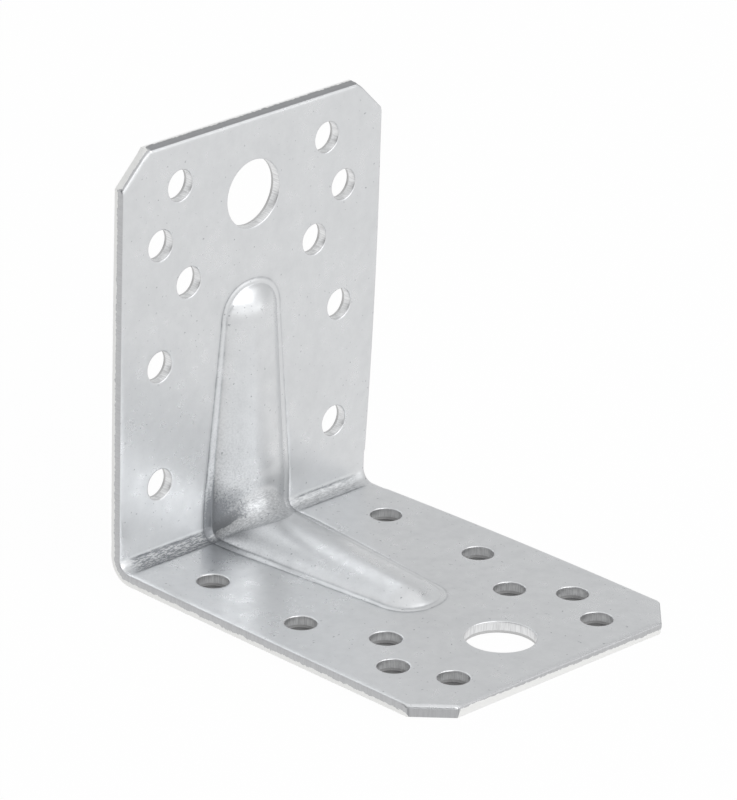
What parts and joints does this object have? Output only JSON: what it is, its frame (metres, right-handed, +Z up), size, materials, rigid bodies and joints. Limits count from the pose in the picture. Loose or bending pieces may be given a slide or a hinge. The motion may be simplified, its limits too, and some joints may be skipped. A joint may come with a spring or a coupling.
{
  "type": "reinforced angle bracket",
  "caption": "Folded steel angle bracket with a bead pressed across its bend, and round holes in both flanges for bolts and nails.",
  "frame": {"origin": "middle of the box's underside, on the face that the base flange rests on", "axes": "+Z up along the upright flange, +X from the heel towards the free end of the base flange, +Y across the width"},
  "size_m": [0.07, 0.055, 0.07],
  "materials": {
    "galvanised_steel": "bright zinc coating, half glossy"
  },
  "bodies": {
    "root": {"angle_bracket": "galvanised_steel"}
  },
  "joints": []
}
